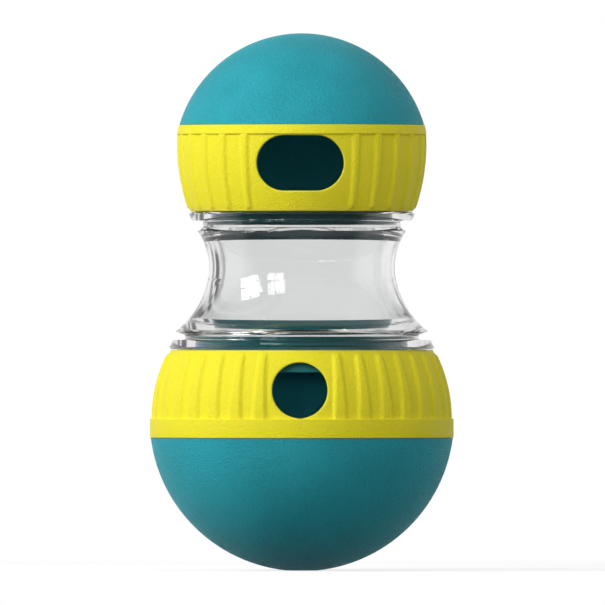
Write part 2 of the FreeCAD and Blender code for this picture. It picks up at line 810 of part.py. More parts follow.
def make_upper_collar():
    """Ribbed ring with the oval outlet, a band under the dome, and a threaded hub for the adapter."""
    core = new_body("upper_collar_core")
    valley = "upper_side_radius - valley_depth"
    bore = "upper_spigot + thread_gap"
    bead_head = "upper_seam - bead_inset"
    bead_across = f"{upper_inside(bead_head)} - bead_depth"
    turned(
        core,
        "ring",
        [
            (bore, "upper_rim"),
            *seal_groove("upper_spigot", "upper_rim", "+"),
            (on_arc(valley, "upper_rim", "girth", "side_centre"), "upper_rim"),
            (on_arc(valley, "upper_band_edge", "girth", "side_centre"), "upper_band_edge", valley),
            ("upper_band_radius", "upper_band_edge"),
            ("upper_band_top", "upper_seam"),
            (upper_inside("upper_seam"), "upper_seam"),
            (upper_inside(bead_head), bead_head, f"-({UPPER_INSIDE})"),
            (bead_across, bead_head),
            (bead_across, f"{bead_head} - bead_height"),
            (upper_inside(f"{bead_head} - bead_height"), f"{bead_head} - bead_height"),
            (upper_inside("upper_hub_face"), "upper_hub_face", f"-({UPPER_INSIDE})"),
            (bore, "upper_hub_face"),
        ],
    )
    track_in = f"{upper_inside('upper_seam')} - {PAST}"
    track_out = f"{UPPER_STOP} + stop_depth + shutter_gap"
    track_foot = "upper_seam + seam_gap - stop_height - shutter_gap"
    track_head = f"upper_seam + {PAST}"
    turned(
        core,
        "stop_track",
        [(track_in, track_head), (track_in, track_foot), (track_out, track_foot), (track_out, track_head)],
        cut=True,
        angle=TRACK_ANGLE,
        azimuth=number(f"{STOP_AZIMUTH} + travel / 2"),
    )
    oval_pocket(core, "outlet", "0", "upper_outlet", "upper_outlet_width", "upper_outlet_height")
    foot = "upper_rim + upper_ridge_gap"
    head = "upper_band_edge + valley_depth"
    root = f"{valley} - valley_depth"
    ridges = ridge_ring(
        "upper_ridges",
        [
            (on_arc(root, foot, "girth", "side_centre"), foot),
            (on_arc("upper_side_radius", foot, "girth", "side_centre"), foot),
            (on_arc("upper_side_radius", head, "girth", "side_centre"), head, "upper_side_radius"),
            (on_arc(root, head, "girth", "side_centre"), head),
        ],
        [
            ("-upper_ridge_foot / 2", foot),
            ("upper_ridge_foot / 2", foot),
            ("upper_ridge_head / 2", head),
            ("-upper_ridge_head / 2", head),
        ],
        "upper_spigot",
        "upper_ridge_count",
        "upper_ridge_first",
    )
    return finished_collar("upper_collar", core, ridges, "upper_spigot", "upper_rim")


def make_upper_shutter():
    """Sleeve inside the upper collar. Its window opens the outlet, and its flange is screwed to the dome."""
    body = new_body("upper_shutter")
    inner = f"{UPPER_SHUTTER} - shutter_wall"
    foot = "upper_hub_face + shutter_gap"
    head = "upper_seam + shutter_gap"
    flange = f"{head} - screw_flange"
    ring_in = "upper_spigot + thread_depth + ring_gap"
    ring_out = f"{ring_in} + ring_width + 2 * ring_gap"
    bead_head = "upper_seam - bead_inset"
    bead_floor = f"{upper_inside(bead_head)} - bead_depth - shutter_gap"
    groove_head = f"{bead_head} + shutter_gap"
    groove_foot = f"{bead_head} - bead_height - shutter_gap"
    ring_floor = f"{foot} + ring_height - seal_lip"
    sill_face = f"{foot} + shutter_foot"
    turned(
        body,
        "sleeve",
        [
            ("upper_spigot + 2 * shutter_gap", foot),
            (ring_in, foot),
            (ring_in, ring_floor),
            (ring_out, ring_floor),
            (ring_out, foot),
            (upper_shutter_side(foot), foot),
            (upper_shutter_side(groove_foot), groove_foot, UPPER_SHUTTER),
            (bead_floor, groove_foot),
            (bead_floor, groove_head),
            (upper_shutter_side(groove_head), groove_head),
            (upper_shutter_side(head), head, UPPER_SHUTTER),
            (f"{upper_shutter_side(head)} - screw_flange_width", head),
            (f"{upper_shutter_side(head)} - screw_flange_width", flange),
            (on_arc(inner, flange, "girth", "side_centre"), flange),
            (on_arc(inner, sill_face, "girth", "side_centre"), sill_face, f"-({inner})"),
            ("upper_spigot + 2 * shutter_gap", sill_face),
        ],
    )
    sill = "2 * shutter_sill"
    oval_pocket(body, "window", "upper_window_shift", "upper_outlet",
                f"upper_outlet_width + {sill}", f"upper_outlet_height + {sill}")
    round_posts(body, "screw_holes", UPPER_SCREWS, SCREW_HOLE, f"{flange} - {PAST}", head, cut=True)
    return body


def make_upper_friction_ring():
    body = new_body("upper_friction_ring")
    inner = "upper_spigot + thread_depth + 2 * ring_gap"
    foot = "upper_hub_face + shutter_gap - seal_lip"
    flat_ring(body, inner, "ring_width", foot, f"{foot} + ring_height - ring_gap / 2")
    return body


def make_upper_dome():
    """Cap with four posts for the shutter's screws, and the stop that runs in the collar's track."""
    body = new_body("upper_dome")
    middle = "cap_radius - cap_wall / 2"
    inside = "cap_radius - cap_wall"
    rim = "upper_seam + seam_gap"
    head = "upper_seam + shutter_gap"
    round_posts(body, "posts", UPPER_SCREWS, "post_radius", head, "cap_centre + cap_radius")
    turned(
        body,
        "post_trim",
        [
            ("0", f"cap_centre + ({middle})", middle),
            ("0", f"cap_centre + cap_radius + {PAST}"),
            (f"{middle} + {PAST}", f"cap_centre + cap_radius + {PAST}"),
            (f"{middle} + {PAST}", "cap_centre"),
            (middle, "cap_centre"),
        ],
        cut=True,
    )
    turned(
        body,
        "cap",
        [
            (on_arc("cap_radius", rim, "cap_centre"), rim),
            ("0", "cap_centre + cap_radius", "cap_radius"),
            ("0", f"cap_centre + ({inside})"),
            (on_arc(inside, rim, "cap_centre"), rim, f"-({inside})"),
        ],
    )
    turned(
        body,
        "stop",
        [
            (UPPER_STOP, f"{rim} + seam_gap"),
            (UPPER_STOP, f"{rim} - stop_height"),
            (f"{UPPER_STOP} + stop_depth", f"{rim} - stop_height"),
            (f"{UPPER_STOP} + stop_depth", f"{rim} + seam_gap"),
        ],
        angle="stop_width",
        azimuth=STOP_AZIMUTH,
    )
    pilot_head = f"{head} - screw_flange + screw_length + hole_gap"
    round_posts(body, "post_pilots", UPPER_SCREWS, PILOT, head, pilot_head, cut=True, upward=True)
    return body


def make_ballast_weight():
    """Slug that follows the bowl's inside and fills the space under the cover."""
    body = new_body("ballast_weight")
    seat = "base_radius - base_wall - ballast_gap"
    head = "shelf_rise - ballast_ease"
    turned(
        body,
        "slug",
        [
            ("0", f"base_centre - ({seat})"),
            ("ballast_radius", under_arc(seat, "ballast_radius", "base_centre"), seat),
            ("ballast_radius", head),
            ("0", head),
        ],
    )
    return body


def make_ballast_gasket():
    body = new_body("ballast_gasket")
    inner = "ballast_radius + ballast_ease + hole_gap"
    flat_ring(body, inner, "gasket_width", "shelf_rise", "cover_foot")
    below = f"shelf_rise - {PAST}"
    round_posts(body, "screw_holes", COVER_SCREWS, SCREW_HOLE, below, "cover_foot", cut=True)
    return body


def make_ballast_cover():
    """Lid over the slug: a flat rim with screw holes round a low crown."""
    body = new_body("ballast_cover")
    outer = f"{on_arc('base_radius - base_wall', 'cover_foot', 'base_centre')} - cover_gap"
    flat = "ballast_radius"
    crown = "(ballast_radius^2 + cover_crown^2) / (2 * cover_crown)"
    turned(
        body,
        "lid",
        [
            ("0", "cover_foot"),
            (outer, "cover_foot"),
            (outer, "cover_head"),
            (flat, "cover_head"),
            ("0", "cover_head + cover_crown", crown),
        ],
    )
    below = f"cover_foot - {PAST}"
    round_posts(body, "screw_holes", COVER_SCREWS, SCREW_HOLE, below, "cover_head", cut=True)
    return body


sub_parts = [
    make_lower_dome(),
    make_lower_shutter(),
    screw_circle("lower_dome_screws", LOWER_SCREWS, "(lower_seam - lower_skirt + screw_flange)", down=True),
    make_lower_friction_ring(),
    make_ballast_weight(),
    make_ballast_gasket(),
    make_ballast_cover(),
    screw_circle("ballast_screws", COVER_SCREWS, "cover_head", down=True),
    make_lower_collar(),
    make_seal("lower_seal", "lower_spigot", "lower_rim", "+"),
    make_lower_adapter(),
    make_waist(),
    make_upper_adapter(),
    make_seal("upper_seal", "upper_spigot", "upper_rim", "-"),
    make_upper_collar(),
    make_upper_shutter(),
    make_upper_friction_ring(),
    screw_circle("upper_dome_screws", UPPER_SCREWS, "(upper_seam + shutter_gap - screw_flange)", down=False),
    make_upper_dome(),
]
doc.recompute()

for thing in doc.Objects:
    if "Invalid" in thing.State or "Error" in thing.State:
        raise RuntimeError(f"{thing.Name} failed: {thing.State}")
for sub_part in sub_parts:
    if sub_part.Shape.isNull() or not sub_part.Shape.isValid():
        raise RuntimeError(f"{sub_part.Label} has no valid shape")
for sub_part in sub_parts:
    sub_part.Shape.exportStep(f"parts/{sub_part.Label}.step")
    box = sub_part.Shape.optimalBoundingBox(False, False)
    solids = len(sub_part.Shape.Solids)
    volume = sub_part.Shape.Volume
    print(f"{sub_part.Label}: {solids} solids, {volume:.0f} mm3, z {box.ZMin:.2f} to {box.ZMax:.2f}")
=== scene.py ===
import math

import bmesh
import bpy
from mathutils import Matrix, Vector


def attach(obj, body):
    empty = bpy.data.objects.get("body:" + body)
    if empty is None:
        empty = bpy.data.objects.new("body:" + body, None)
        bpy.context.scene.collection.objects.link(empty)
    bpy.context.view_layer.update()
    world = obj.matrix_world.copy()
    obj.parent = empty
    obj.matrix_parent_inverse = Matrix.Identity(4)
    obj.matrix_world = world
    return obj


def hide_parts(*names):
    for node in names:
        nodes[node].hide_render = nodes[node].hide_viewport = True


# Treat dispensing toy: teal domes, yellow ribbed collars and a clear waist.
# Metres, in the frame of the solids. Both outlets face -Y.

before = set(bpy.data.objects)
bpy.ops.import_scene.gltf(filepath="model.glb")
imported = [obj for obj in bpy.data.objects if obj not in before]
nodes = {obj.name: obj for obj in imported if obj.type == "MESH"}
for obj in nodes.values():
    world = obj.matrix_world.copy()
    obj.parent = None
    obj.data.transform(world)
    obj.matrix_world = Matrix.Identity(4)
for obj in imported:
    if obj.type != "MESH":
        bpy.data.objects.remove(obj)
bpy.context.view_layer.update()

MM = 0.001

# Heights on the collars, in millimetres, as in the solids. Only the lower band's edge is drawn a little
# lower than the solid's, so that the round outlet keeps its whole rim.
LOWER_SEAM = 42.2
LOWER_CENTRE = 47.94
LOWER_BAND_EDGE = 48.05
LOWER_SOLID_EDGE = 48.4
LOWER_OUTLET = 57.1
LOWER_RIM = 69.75
UPPER_RIM = 113.7
UPPER_OUTLET = 128.8
UPPER_GIRTH = 134.7
UPPER_BAND_EDGE = 138.0
UPPER_SEAM = 140.8

# Radii of the collars' plain sides between the ribs, and of their bands. The upper side is a flatter
# curve, whose centre lies beyond the axis.
LOWER_VALLEY = 46.8
LOWER_BAND = 48.05
UPPER_SIDE = 61.9
UPPER_SIDE_CENTRE = -23.05
UPPER_BAND_FOOT = 39.5
UPPER_BAND_TOP = 38.95

# How far the ribs stand out, how far the bands reach past the seams and how wide the rims are.
LOWER_RIB = 0.78
UPPER_RIB = 0.62
LIP = 0.15
RIM_WIDTH = 0.5

# How finely a collar's skin is divided: steps in a full turn, and millimetres between its rows.
TURN_STEPS = 720
ROW_SPACING = 0.55

# How far outside an outlet's outline the flat skin ends, and the rounded rim from there inwards: how far
# outside the outline, and how deep.
OUTLET_EDGE = 0.5
OUTLET_RIM = ((0.31, 0.04), (0.15, 0.15), (0.04, 0.31), (0.0, 0.5), (0.0, 0.9))

# How near the collar's side and its edges a point still counts as lying on them, in millimetres.
SIDE_SLACK = 0.06
EDGE_SLACK = 0.01

# Vertices nearer than this become one, in metres.
SAME_PLACE = 1e-7

WHITE = (1.0, 1.0, 1.0)
TEAL_LIGHT = (0.030, 0.43, 0.518)
TEAL_DARK = (0.021, 0.343, 0.41)

# Light of the studio's grey dome at the horizon and overhead, of its soft fill from the right, of the dim
# room in front and of the ceiling as gloss shows it, all as shares of white.
DOME_LIGHT = 0.50
SKY_LIGHT = 0.31
FILL_LIGHT = 0.24
ROOM_LIGHT = 0.14
CEILING_GLOSS = 0.5

# The direction the soft fill comes from, and the Y parts of a direction between which the room turns dim.
FILL_FROM = (0.8, -0.6, 0.0)
ROOM_EDGE = (-0.45, -0.05)

# How dark the flags left and right of the toy are, where a clear piece shows them, and how much light
# passes between and beside them, by the X part of a direction.
LEFT_FLAG = 1.0
RIGHT_FLAG = 0.1
FLAG_GAPS = (
    (0.30, 1.0),
    (0.36, 0.12),
    (0.43, 0.12),
    (0.47, 0.9),
    (0.51, 0.9),
    (0.55, 0.08),
    (0.66, 0.08),
    (0.71, 1.0),
)


def kept_between(value, low, high):
    """The value, or the nearer end where it lies outside."""
    return min(max(value, low), high)


def soft_step(value):
    """0 below 0, 1 above 1 and a smooth rise between."""
    held = kept_between(value, 0.0, 1.0)
    return held * held * (3.0 - 2.0 * held)


# Node trees.


class Shader:
    """A node tree that is being wired up."""

    def __init__(self, owner):
        owner.use_nodes = True
        self.tree = owner.node_tree
        self.tree.nodes.clear()

    def node(self, kind, **settings):
        """A new node of this kind with these settings."""
        made = self.tree.nodes.new(kind)
        for name, amount in settings.items():
            setattr(made, name, amount)
        return made

    def feed(self, made, amounts):
        """Gives inputs of a node, by name or number, a value each or the output of another node."""
        for name, amount in amounts.items():
            if isinstance(amount, bpy.types.NodeSocket):
                self.tree.links.new(amount, made.inputs[name])
            else:
                made.inputs[name].default_value = amount
        return made

    def finish(self, kind, shader):
        """Sends a shader to the tree's output node."""
        self.feed(self.node(kind), {"Surface": shader})

    def reckon(self, kind, operation, first, second):
        """The outputs of a node that does a sum with one or two amounts."""
        amounts = {0: first} if second is None else {0: first, 1: second}
        return self.feed(self.node(kind, operation=operation), amounts).outputs

    def maths(self, operation, first, second=None):
        return self.reckon("ShaderNodeMath", operation, first, second)[0]

    def vector_maths(self, operation, first, second=None):
        return self.reckon("ShaderNodeVectorMath", operation, first, second)

    def length(self, vector):
        return self.vector_maths("LENGTH", vector)["Value"]

    def product(self, first, second):
        return self.maths("MULTIPLY", first, second)

    def rest_of(self, share):
        """What a share leaves of 1."""
        return self.maths("SUBTRACT", 1.0, share)

    def spread(self, value, low, high, to_low, to_high):
        """A value between low and high spread over another range, eased at both ends."""
        made = self.node("ShaderNodeMapRange", interpolation_type="SMOOTHSTEP")
        ends = {"From Min": low, "From Max": high, "To Min": to_low, "To Max": to_high}
        return self.feed(made, {"Value": value, **ends}).outputs["Result"]

    def axes(self, vector):
        """The X, Y and Z parts of a vector."""
        return self.feed(self.node("ShaderNodeSeparateXYZ"), {"Vector": vector}).outputs

    def rays(self):
        """What the renderer knows of a ray's path so far."""
        return self.node("ShaderNodeLightPath").outputs

    def let_through(self):
        """1 for rays that have passed a clear surface, else 0."""
        return self.maths("GREATER_THAN", self.rays()["Transmission Depth"], 0.5)

    def seen_rays(self):
        """1 for rays from the camera and those mirrored or let through on their way from it, else 0."""
        rays = self.rays()
        turned = self.maths("MAXIMUM", rays["Is Glossy Ray"], rays["Is Transmission Ray"])
        straight = self.maths("LESS_THAN", rays["Diffuse Depth"], 0.5)
        return self.maths("MAXIMUM", rays["Is Camera Ray"], self.product(turned, straight))

    def side_flags(self, sideways):
        """What the dark studio flags left and right of the toy take from the light a clear piece shows."""
        middle = 0.1
        left_in = self.greys(self.maths("ABSOLUTE", sideways), *FLAG_GAPS)
        darkness = self.spread(sideways, -middle, middle, LEFT_FLAG, RIGHT_FLAG)
        return self.product(self.rest_of(left_in), darkness)

    def place(self):
        """Where on its piece a point lies, in metres."""
        return self.node("ShaderNodeTexCoord").outputs["Object"]

    def noise(self, place, scale, detail=2.0, roughness=0.5):
        """Soft spots between 0 and 1, finer with a larger scale."""
        amounts = {"Vector": place, "Scale": scale, "Detail": detail, "Roughness": roughness}
        return self.feed(self.node("ShaderNodeTexNoise"), amounts).outputs["Fac"]

    def tones(self, value, *stops):
        """A ramp of (position, colour) stops."""
        made = self.feed(self.node("ShaderNodeValToRGB"), {"Fac": value})
        ramp = made.color_ramp
        while len(ramp.elements) < len(stops):
            ramp.elements.new(0.5)
        for element, (position, colour) in zip(ramp.elements, stops):
            element.position = position
            element.color = (*colour, 1.0)
        return made.outputs["Color"]

    def greys(self, value, *stops):
        """A ramp of (position, share of white) stops."""
        return self.tones(value, *((position, (share, share, share)) for position, share in stops))

    def bump(self, height, strength, distance, under=None):
        """Small hills and hollows, on top of coarser ones where these are given."""
        amounts = {"Strength": strength, "Distance": distance, "Height": height}
        if under is not None:
            amounts["Normal"] = under
        return self.feed(self.node("ShaderNodeBump"), amounts).outputs["Normal"]

    def glow(self, strength):
        """A shader that shines white by itself."""
        return self.feed(self.node("ShaderNodeEmission"), {"Strength": strength}).outputs["Emission"]

    def matt(self, colour):
        """A matt shader that takes light and shadow."""
        return self.feed(self.node("ShaderNodeBsdfDiffuse"), {"Color": colour}).outputs["BSDF"]

    def both(self, first, second):
        """Two shaders added up."""
        return self.feed(self.node("ShaderNodeAddShader"), {0: first, 1: second}).outputs["Shader"]

    def mixed(self, share, first, second):
        """The first shader where the share is 0, the second where it is 1."""
        return self.feed(self.node("ShaderNodeMixShader"), {0: share, 1: first, 2: second}).outputs["Shader"]


# Camera and light.


def place_camera():
    """A long lens at the height of the waist, as the toy was photographed."""
    data = bpy.data.cameras.new("camera")
    data.lens = 1650.0
    data.sensor_width = 36.0
    data.clip_start = 0.1
    data.clip_end = 60.0
    view_width = 0.19148
    distance = view_width * data.lens / data.sensor_width
    height = 0.08479
    beside = 0.00022
    turn = math.radians(0.8)
    camera = bpy.data.objects.new("camera", data)
    camera.location = (
        distance * math.sin(turn) + beside * math.cos(turn),
        beside * math.sin(turn) - distance * math.cos(turn),
        height,
    )
    camera.rotation_euler = (math.radians(90.0), 0.0, turn)
    bpy.context.scene.collection.objects.link(camera)
    bpy.context.scene.camera = camera


def hang_light(name, azimuth, elevation, distance, width, height, across, up, power, gloss):
    """A soft rectangular light that faces the toy, shifted across and up in its own plane.

    Glossy pieces show the given share of it.
    """
    data = bpy.data.lights.new(name, "AREA")
    data.shape = "RECTANGLE"
    data.size = width
    data.size_y = height
    data.energy = power
    lamp = Shader(data)
    held_back = lamp.product(lamp.rays()["Is Glossy Ray"], 1.0 - gloss)
    lamp.finish("ShaderNodeOutputLight", lamp.glow(lamp.rest_of(held_back)))
    light = bpy.data.objects.new(name, data)
    turn = math.radians(azimuth)
    rise = math.radians(elevation)
    out = Vector((math.sin(turn) * math.cos(rise), -math.cos(turn) * math.cos(rise), math.sin(rise)))
    side = Vector((math.cos(turn), math.sin(turn), 0.0))
    above = out.cross(side) * -1.0
    middle_of_toy = Vector((0.0, 0.0, 0.085))
    light.location = middle_of_toy + out * distance + side * across + above * up
    light.rotation_euler = out.to_track_quat("Z", "Y").to_euler()
    bpy.context.scene.collection.objects.link(light)


def hang_window(name, azimuth, elevation, width, height, power, gloss):
    """A tall studio window of four panes, turned and raised in degrees, sized in metres."""
    distance = 1.6
    bar = 0.045
    pane_width = (width - bar) / 2.0
    pane_height = (height - bar) / 2.0
    for column in (-1, 1):
        for row in (-1, 1):
            hang_light(
                f"{name}_{column + 1}{row + 1}",
                azimuth,
                elevation,
                distance,
                pane_width,
                pane_height,
                across=column * (pane_width + bar) / 2.0,
                up=row * (pane_height + bar) / 2.0,
                power=power / 4.0,
                gloss=gloss,
            )


def light_studio():
    """White around the toy where it is seen, a soft grey dome where it lights."""
    side = {"azimuth": -70.4, "elevation": 27.0, "width": 0.58, "height": 0.74, "power": 12.7, "gloss": 0.093}
    front = {"azimuth": -33.2, "elevation": 26.0, "width": 0.54, "height": 0.84, "power": 7.8, "gloss": 0.15}
    hang_window("side_window", **side)
    hang_window("front_window", **front)
    world = bpy.data.worlds.new("studio")
    bpy.context.scene.world = world
    studio = Shader(world)
    way = studio.node("ShaderNodeTexCoord").outputs["Generated"]
    seen = studio.seen_rays()
    dome = studio.product(studio.rest_of(seen), dome_light(studio, way))
    strength = studio.maths("ADD", dome, studio.product(seen, mirrored_room(studio, way)))
    background = studio.node("ShaderNodeBackground")
    studio.feed(background, {"Color": (*WHITE, 1.0), "Strength": strength})
    studio.finish("ShaderNodeOutputWorld", background.outputs["Background"])


def dome_light(studio, way):
    """The soft light from all round, with the fill from the right."""
    overhead = 0.9
    towards_fill = studio.vector_maths("DOT_PRODUCT", way, FILL_FROM)["Value"]
    fill = studio.product(studio.maths("MAXIMUM", towards_fill, 0.0), FILL_LIGHT)
    dome = studio.spread(studio.axes(way)["Z"], 0.0, overhead, DOME_LIGHT, SKY_LIGHT)
    return studio.maths("ADD", fill, dome)


def mirrored_room(studio, way):
    """White for the camera. Gloss shows a dim room in front, and clear pieces the dark flags as well."""
    ceiling_edge = (0.3, 0.6)
    gloss_fades = (0.1, 0.8)
    axes = studio.axes(way)
    through = studio.let_through()
    ceiling = studio.product(studio.spread(axes["Z"], *ceiling_edge, 0.0, 1.0), through)
    front = studio.spread(axes["Y"], *ROOM_EDGE, ROOM_LIGHT, 1.0)
    above = studio.spread(axes["Z"], *gloss_fades, 1.0, CEILING_GLOSS)
    room = studio.maths("MAXIMUM", studio.product(front, above), ceiling)
    flags = studio.product(studio.side_flags(axes["X"]), through)
    mirrored = studio.product(room, studio.rest_of(flags))
    return studio.maths("MAXIMUM", mirrored, studio.rays()["Is Camera Ray"])


def lay_floor():
    """A pale round floor that keeps the toy's shadow and fades into the white around it."""
    below_foot = 0.00005
    bounce_grows = (0.08, 0.3)
    mesh = bpy.data.meshes.new("floor")
    bm = bmesh.new()
    bmesh.ops.create_circle(bm, cap_ends=True, segments=128, radius=3.0)
    bmesh.ops.translate(bm, verts=bm.verts, vec=(0.0, 0.0, -below_foot))
    bm.to_mesh(mesh)
    bm.free()
    floor = bpy.data.objects.new("floor", mesh)
    bpy.context.scene.collection.objects.link(floor)
    material = bpy.data.materials.new("pale_floor")
    paint = Shader(material)
    place = paint.place()
    reach = paint.length(place)
    white = shadowed_white(paint, place, reach)
    seen = paint.mixed(dim_share(paint, place, reach), white, paint.glow(ROOM_LIGHT))
    beyond = paint.spread(reach, *bounce_grows, 0.0, 1.0)
    bounce = paint.matt(paint.greys(beyond, (0.0, 0.11), (1.0, 0.36)))
    paint.finish("ShaderNodeOutputMaterial", paint.mixed(paint.seen_rays(), bounce, seen))
    mesh.materials.append(material)


def shadowed_white(paint, place, reach):
    """The floor as it is seen: its own glow, and near the toy a part that takes the shadow."""
    shadow_fades = (0.12, 0.6)
    glow_at_toy = 0.76
    far = paint.spread(reach, *shadow_fades, 0.0, 1.0)
    flagged = paint.side_flags(paint.maths("DIVIDE", paint.axes(place)["X"], reach))
    bright = paint.rest_of(paint.product(flagged, paint.product(paint.let_through(), far)))
    white = paint.spread(far, 0.0, 1.0, glow_at_toy, 1.0)
    return paint.both(
        paint.glow(paint.product(white, bright)),
        paint.matt(paint.greys(far, (0.0, 0.34), (1.0, 0.0))),
    )


def dim_share(paint, place, reach):
    """How far the floor in front of the toy is dim, where the toy mirrors it or shows it through."""
    beside_toy = (0.07, 0.13)
    reflected = paint.rest_of(paint.rays()["Is Camera Ray"])
    clear_of_toy = paint.spread(reach, *beside_toy, 0.0, 1.0)
    ahead = paint.maths("DIVIDE", paint.axes(place)["Y"], reach)
    in_front = paint.spread(ahead, *ROOM_EDGE, 1.0, 0.0)
    return paint.product(in_front, paint.product(reflected, clear_of_toy))


# Finishes.


def finish_of(name, fill_in):
    """A material whose surface is filled in from a shader tree and the place on the piece."""
    material = bpy.data.materials.new(name)
    paint = Shader(material)
    surface = paint.feed(paint.node("ShaderNodeBsdfPrincipled"), fill_in(paint, paint.place()))
    paint.finish("ShaderNodeOutputMaterial", surface.outputs["BSDF"])
    return material


def moulded_plastic(name, light_tone, dark_tone, roughness, specular, grain, sheen, sheen_tint=WHITE):
    """Matt moulded plastic with a fine eroded grain and a slight unevenness of tone."""
    rough_spread = 0.06

    def fill_in(paint, place):
        cloud = paint.noise(place, 45.0, detail=3.0)
        speckle = paint.noise(place, 2100.0, detail=2.0, roughness=0.6)
        coarse = paint.noise(place, 1700.0, detail=2.5, roughness=0.7)
        blend = paint.maths("ADD", paint.product(cloud, 0.45), paint.product(coarse, 0.55))
        return {
            "Base Color": paint.tones(blend, (0.41, dark_tone), (0.59, light_tone)),
            "Roughness": paint.spread(speckle, 0.3, 0.7, roughness - rough_spread, roughness + rough_spread),
            "Normal": paint.bump(speckle, grain, 0.00013, paint.bump(coarse, grain, 0.0003)),
            "Specular IOR Level": specular,
            "Sheen Weight": sheen,
            "Sheen Roughness": 0.28,
            "Sheen Tint": (*sheen_tint, 1.0),
        }

    return finish_of(name, fill_in)


def shutter_plastic(name, ring_across, ring_height, outer):
    """Teal plastic with painted light on its inside and painted shade on the outer face, where the collar's
    wall shades it.

    The outer face lies at one distance from a ring round the axis.
    """
    # Painted light for the inside, and painted shade for the outer face seen through the outlet.
    painted_light_tone = (0.05, 0.58, 0.66)
    painted_shade_tone = (0.018, 0.17, 0.18)
    fade = 0.3
    shade_edge_jitter = 0.0002

    def fill_in(paint, place):
        across = paint.length(paint.vector_maths("MULTIPLY", place, (1.0, 1.0, 0.0))["Vector"])
        from_ring = paint.node("ShaderNodeCombineXYZ")
        out = paint.maths("SUBTRACT", across, ring_across * MM)
        up = paint.maths("SUBTRACT", paint.axes(place)["Z"], ring_height * MM)
        reach = paint.length(paint.feed(from_ring, {"X": out, "Y": up}).outputs["Vector"])
        # Noise jitters the edge of the painted shade.
        jittered_reach = paint.maths("ADD", reach, paint.product(paint.noise(place, 300.0), shade_edge_jitter))
        side = paint.spread(jittered_reach, outer * MM, (outer + fade) * MM, 0.0, 1.0)
        return {
            "Base Color": paint.tones(side, (0.0, painted_light_tone), (1.0, painted_shade_tone)),
            "Roughness": paint.spread(paint.noise(place, 1500.0), 0.3, 0.7, 0.5, 0.62),
            "Normal": paint.bump(paint.noise(place, 2100.0), 0.6, 0.0001),
            "Specular IOR Level": 0.2,
        }

    return finish_of(name, fill_in)


def clear_plastic(paint, place):
    """Clear moulded plastic, faintly grey, with the slow ripple of a moulding and fine rub marks."""
    rub = paint.noise(place, 700.0, detail=3.0, roughness=0.7)
    ripple = paint.noise(place, 70.0, detail=1.0)
    return {
        "Base Color": (0.865, 0.87, 0.87, 1.0),
        "Transmission Weight": 1.0,
        "IOR": 1.5,
        "Roughness": paint.spread(rub, 0.55, 0.8, 0.015, 0.06),
        "Normal": paint.bump(ripple, 0.12, 0.0004),
    }


def silicone_rubber(paint, place):
    """Milky silicone with a satin skin."""
    cloud = paint.noise(place, 180.0)
    return {
        "Base Color": paint.tones(cloud, (0.35, (0.70, 0.70, 0.67)), (0.7, (0.80, 0.80, 0.78))),
        "Roughness": paint.spread(paint.noise(place, 900.0), 0.3, 0.7, 0.42, 0.55),
        "Specular IOR Level": 0.4,
        "Normal": paint.bump(paint.noise(place, 1200.0), 0.1, 0.00004),
    }


def turned_steel(paint, place):
    """Plated steel with fine turning marks and darker handling spots."""
    spots = paint.noise(place, 220.0, detail=4.0, roughness=0.6)
    marks = paint.feed(paint.node("ShaderNodeMapping"), {"Scale": (300.0, 300.0, 6000.0), "Vector": place})
    lines = paint.noise(marks.outputs["Vector"], 1.0)
    return {
        "Base Color": paint.tones(spots, (0.35, (0.44, 0.45, 0.46)), (0.65, (0.64, 0.65, 0.67))),
        "Metallic": 1.0,
        "Roughness": paint.spread(lines, 0.3, 0.7, 0.24, 0.44),
        "Normal": paint.bump(lines, 0.15, 0.00003),
    }


def give(material, *names):
    """Gives the named solids this material."""
    for name in names:
        slots = nodes[name].data.materials
        if not len(slots):
            slots.append(material)
        for index in range(len(slots)):
            slots[index] = material


# Collars. A new ribbed skin goes round the inside of the solid collar, which keeps its hub and thread.


class Collar:
    """What one collar's outer skin is shaped by, all in millimetres and degrees.

    outline: the plain side, as points of radius and height.
    across: gives the side's radius at a height.
    is_side: tells whether a face of the solid, by its middle, is on the outer side.
    ribs: the first rib's turn from the front, the pitch and the number of ribs.
    rib: gives a rib's height by the offset from its middle and the height on the collar.
    ribbed: the lowest and the highest place with ribs.
    window: how far round and between which heights the skin is cut for the outlet.
    outlet: the height of its middle, half its width and half its height.
    """

    def __init__(self, name, outline, across, is_side, ribs, rib, ribbed, window, outlet):
        self.name = name
        self.outline = outline
        self.across = across
        self.is_side = is_side
        self.ribs = ribs
        self.rib = rib
        self.ribbed = ribbed
        self.window = window
        self.outlet = outlet


def lower_across(height):
    """How far out the lower collar's plain side is at a height."""
    return math.sqrt(LOWER_VALLEY**2 - (height - LOWER_CENTRE) ** 2)


def upper_across(height):
    """How far out the upper collar's plain side is at a height."""
    return math.sqrt(UPPER_SIDE**2 - (height - UPPER_GIRTH) ** 2) + UPPER_SIDE_CENTRE


def lower_rib(offset, height):
    """The lower ribs narrow upwards and end in a round head."""
    foot_half = 2.2
    head_half = 1.2
    below_rim = 1.3
    head = LOWER_RIM - below_rim - head_half
    flank = 0.72
    share = kept_between((height - LOWER_BAND_EDGE) / (head - LOWER_BAND_EDGE), 0.0, 1.0)
    half = foot_half + (head_half - foot_half) * share
    reach = math.hypot(offset, max(height - head, 0.0))
    return LOWER_RIB * soft_step((half + flank - reach) / (2.0 * flank))


def upper_rib(offset, height):
    """The upper ribs widen upwards and run out above the rim."""
    foot_half = 0.85
    head_half = 1.3
    above_rim = 0.6
    foot = UPPER_RIM + above_rim
    flank = 0.68
    share = kept_between((height - foot) / (UPPER_BAND_EDGE - foot), 0.0, 1.0)
    half = foot_half + (head_half - foot_half) * share
    below_foot = 0.3
    run_length = 0.9
    run_out = soft_step((height - foot + below_foot) / run_length)
    return UPPER_RIB * run_out * soft_step((half + flank - abs(offset)) / (2.0 * flank))


